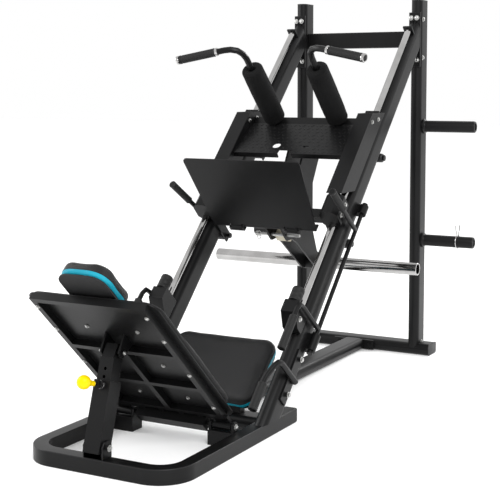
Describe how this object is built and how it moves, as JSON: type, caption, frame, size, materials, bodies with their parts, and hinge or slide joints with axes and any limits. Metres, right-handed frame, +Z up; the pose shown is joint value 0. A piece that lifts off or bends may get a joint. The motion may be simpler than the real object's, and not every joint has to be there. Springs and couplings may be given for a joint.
{
  "type": "leg press and hack squat machine",
  "caption": "Plate-loaded leg press and hack squat machine: a carriage with foam rollers and a press plate slides on inclined guide rods above a seat and a tilting back board.",
  "frame": {"origin": "on the floor, under the middle of the machine's bounding box", "axes": "+X to the machine's right seen from its low front end, +Y from the low front end to the uprights, +Z up"},
  "size_m": [1.07, 2.1258, 1.548],
  "materials": {
    "painted_steel": "satin black powder coat",
    "chrome": "polished",
    "zinc": "zinc plated",
    "rubber": "matt",
    "grip_rubber": "matt",
    "roller_plastic": "matt",
    "foam": "open foam",
    "upholstery": "grained vinyl",
    "yellow_knob": "gloss"
  },
  "bodies": {
    "frame": {"floor_loop": "painted_steel", "cross_tube": "painted_steel", "spine_tube": "painted_steel", "rear_tube": "painted_steel", "crossbeam": "painted_steel", "strut_foot": "painted_steel", "seat_frame": "painted_steel", "seat_pad": "upholstery", "hinge_stand_left": "painted_steel", "upright_left": "painted_steel", "rail_plate_left": "painted_steel", "upper_peg_left": "painted_steel", "lower_peg_left": "painted_steel", "rail_left": "painted_steel", "guide_rod_left": "chrome", "stop_block_left": "painted_steel", "bumper_left": "rubber", "hand_rail_left": "painted_steel", "hand_grip_left": "grip_rubber", "hinge_stand_right": "painted_steel", "upright_right": "painted_steel", "rail_plate_right": "painted_steel", "upper_peg_right": "painted_steel", "lower_peg_right": "painted_steel", "rail_right": "painted_steel", "guide_rod_right": "chrome", "stop_block_right": "painted_steel", "bumper_right": "rubber", "hand_rail_right": "painted_steel", "hand_grip_right": "grip_rubber"},
    "carriage": {"carriage_frame": "painted_steel", "load_bar": "chrome", "tread_plate": "painted_steel", "carriage_side_left": "painted_steel", "handle_tube_left": "painted_steel", "handle_grip_left": "grip_rubber", "carriage_side_right": "painted_steel", "handle_tube_right": "painted_steel", "handle_grip_right": "grip_rubber"},
    "press_plate": {"press_plate": "painted_steel"},
    "pop_pin": {"pop_pin": "zinc"},
    "tilt_board": {"tilt_board": "painted_steel", "back_pad": "upholstery", "head_pad": "upholstery"},
    "strut_outer": {"strut_outer": "painted_steel"},
    "strut_inner": {"strut_inner": "painted_steel"},
    "lock_pin": {"lock_pin": "yellow_knob"},
    "spring_clip": {"spring_clip": "chrome"},
    "foam_roller_left": {"foam_roller_left": "foam"},
    "lower_roller_left": {"lower_roller_left": "roller_plastic"},
    "upper_roller_left": {"upper_roller_left": "roller_plastic"},
    "lock_left": {"lock_rod_left": "painted_steel", "upper_lock_grip_left": "grip_rubber", "lower_lock_grip_left": "grip_rubber"},
    "foam_roller_right": {"foam_roller_right": "foam"},
    "lower_roller_right": {"lower_roller_right": "roller_plastic"},
    "upper_roller_right": {"upper_roller_right": "roller_plastic"},
    "lock_right": {"lock_rod_right": "painted_steel", "upper_lock_grip_right": "grip_rubber", "lower_lock_grip_right": "grip_rubber"}
  },
  "joints": [
    {"name": "carriage_slide", "type": "slide", "parent": "frame", "child": "carriage", "axis": [0, 0.7071, 0.7071], "range_m": [-0.33, 0.48]},
    {"name": "press_plate_fold", "type": "hinge", "parent": "carriage", "child": "press_plate", "pos_m": [0, 0.1122, 0.63498], "axis": [-1, 0, 0], "range_deg": [0, 48]},
    {"name": "pop_pin_pull", "type": "slide", "parent": "carriage", "child": "pop_pin", "axis": [-1, 0, 0], "range_m": [0, 0.05]},
    {"name": "board_tilt", "type": "hinge", "parent": "frame", "child": "tilt_board", "pos_m": [0, -0.5451, 0.065], "axis": [-1, 0, 0], "range_deg": [-3.5, 7]},
    {"name": "strut_swing", "type": "hinge", "parent": "frame", "child": "strut_outer", "pos_m": [0, -0.9701, 0.084], "axis": [-1, 0, 0], "range_deg": [-2.2, 4.4]},
    {"name": "strut_extend", "type": "slide", "parent": "strut_outer", "child": "strut_inner", "axis": [0, 0.2975, 0.9547], "range_m": [-0.0252, 0.0502]},
    {"name": "lock_pin_pull", "type": "slide", "parent": "strut_outer", "child": "lock_pin", "axis": [0, -0.9547, 0.2975], "range_m": [0, 0.014], "stiffness_N_per_m": 800, "springref_m": -0.006},
    {"name": "spring_clip_slide", "type": "slide", "parent": "frame", "child": "spring_clip", "axis": [1, 0, 0], "range_m": [-0.12, 0.055]},
    {"name": "foam_roller_spin_left", "type": "hinge", "parent": "carriage", "child": "foam_roller_left", "pos_m": [-0.142, 0.3611, 1.14976], "axis": [0, -0.7071, 0.7071], "continuous": true},
    {"name": "lower_roller_spin_left", "type": "hinge", "parent": "carriage", "child": "lower_roller_left", "pos_m": [-0.276, 0.24302, 0.58053], "axis": [1, 0, 0], "continuous": true},
    {"name": "upper_roller_spin_left", "type": "hinge", "parent": "carriage", "child": "upper_roller_left", "pos_m": [-0.276, 0.55414, 0.89166], "axis": [1, 0, 0], "continuous": true},
    {"name": "lock_turn_left", "type": "hinge", "parent": "frame", "child": "lock_left", "pos_m": [-0.32, 0.08109, 0.47376], "axis": [0, -0.7071, -0.7071], "range_deg": [0, 30]},
    {"name": "foam_roller_spin_right", "type": "hinge", "parent": "carriage", "child": "foam_roller_right", "pos_m": [0.142, 0.3611, 1.14976], "axis": [0, -0.7071, 0.7071], "continuous": true},
    {"name": "lower_roller_spin_right", "type": "hinge", "parent": "carriage", "child": "lower_roller_right", "pos_m": [0.276, 0.24302, 0.58053], "axis": [1, 0, 0], "continuous": true},
    {"name": "upper_roller_spin_right", "type": "hinge", "parent": "carriage", "child": "upper_roller_right", "pos_m": [0.276, 0.55414, 0.89166], "axis": [1, 0, 0], "continuous": true},
    {"name": "lock_turn_right", "type": "hinge", "parent": "frame", "child": "lock_right", "pos_m": [0.32, 0.08109, 0.47376], "axis": [0, 0.7071, 0.7071], "range_deg": [0, 30]}
  ],
  "couplings": [
    {"joint": "strut_swing", "follows": "board_tilt", "ratio": 0.61508},
    {"joint": "strut_extend", "follows": "board_tilt", "m_per_rad": 0.40935}
  ]
}
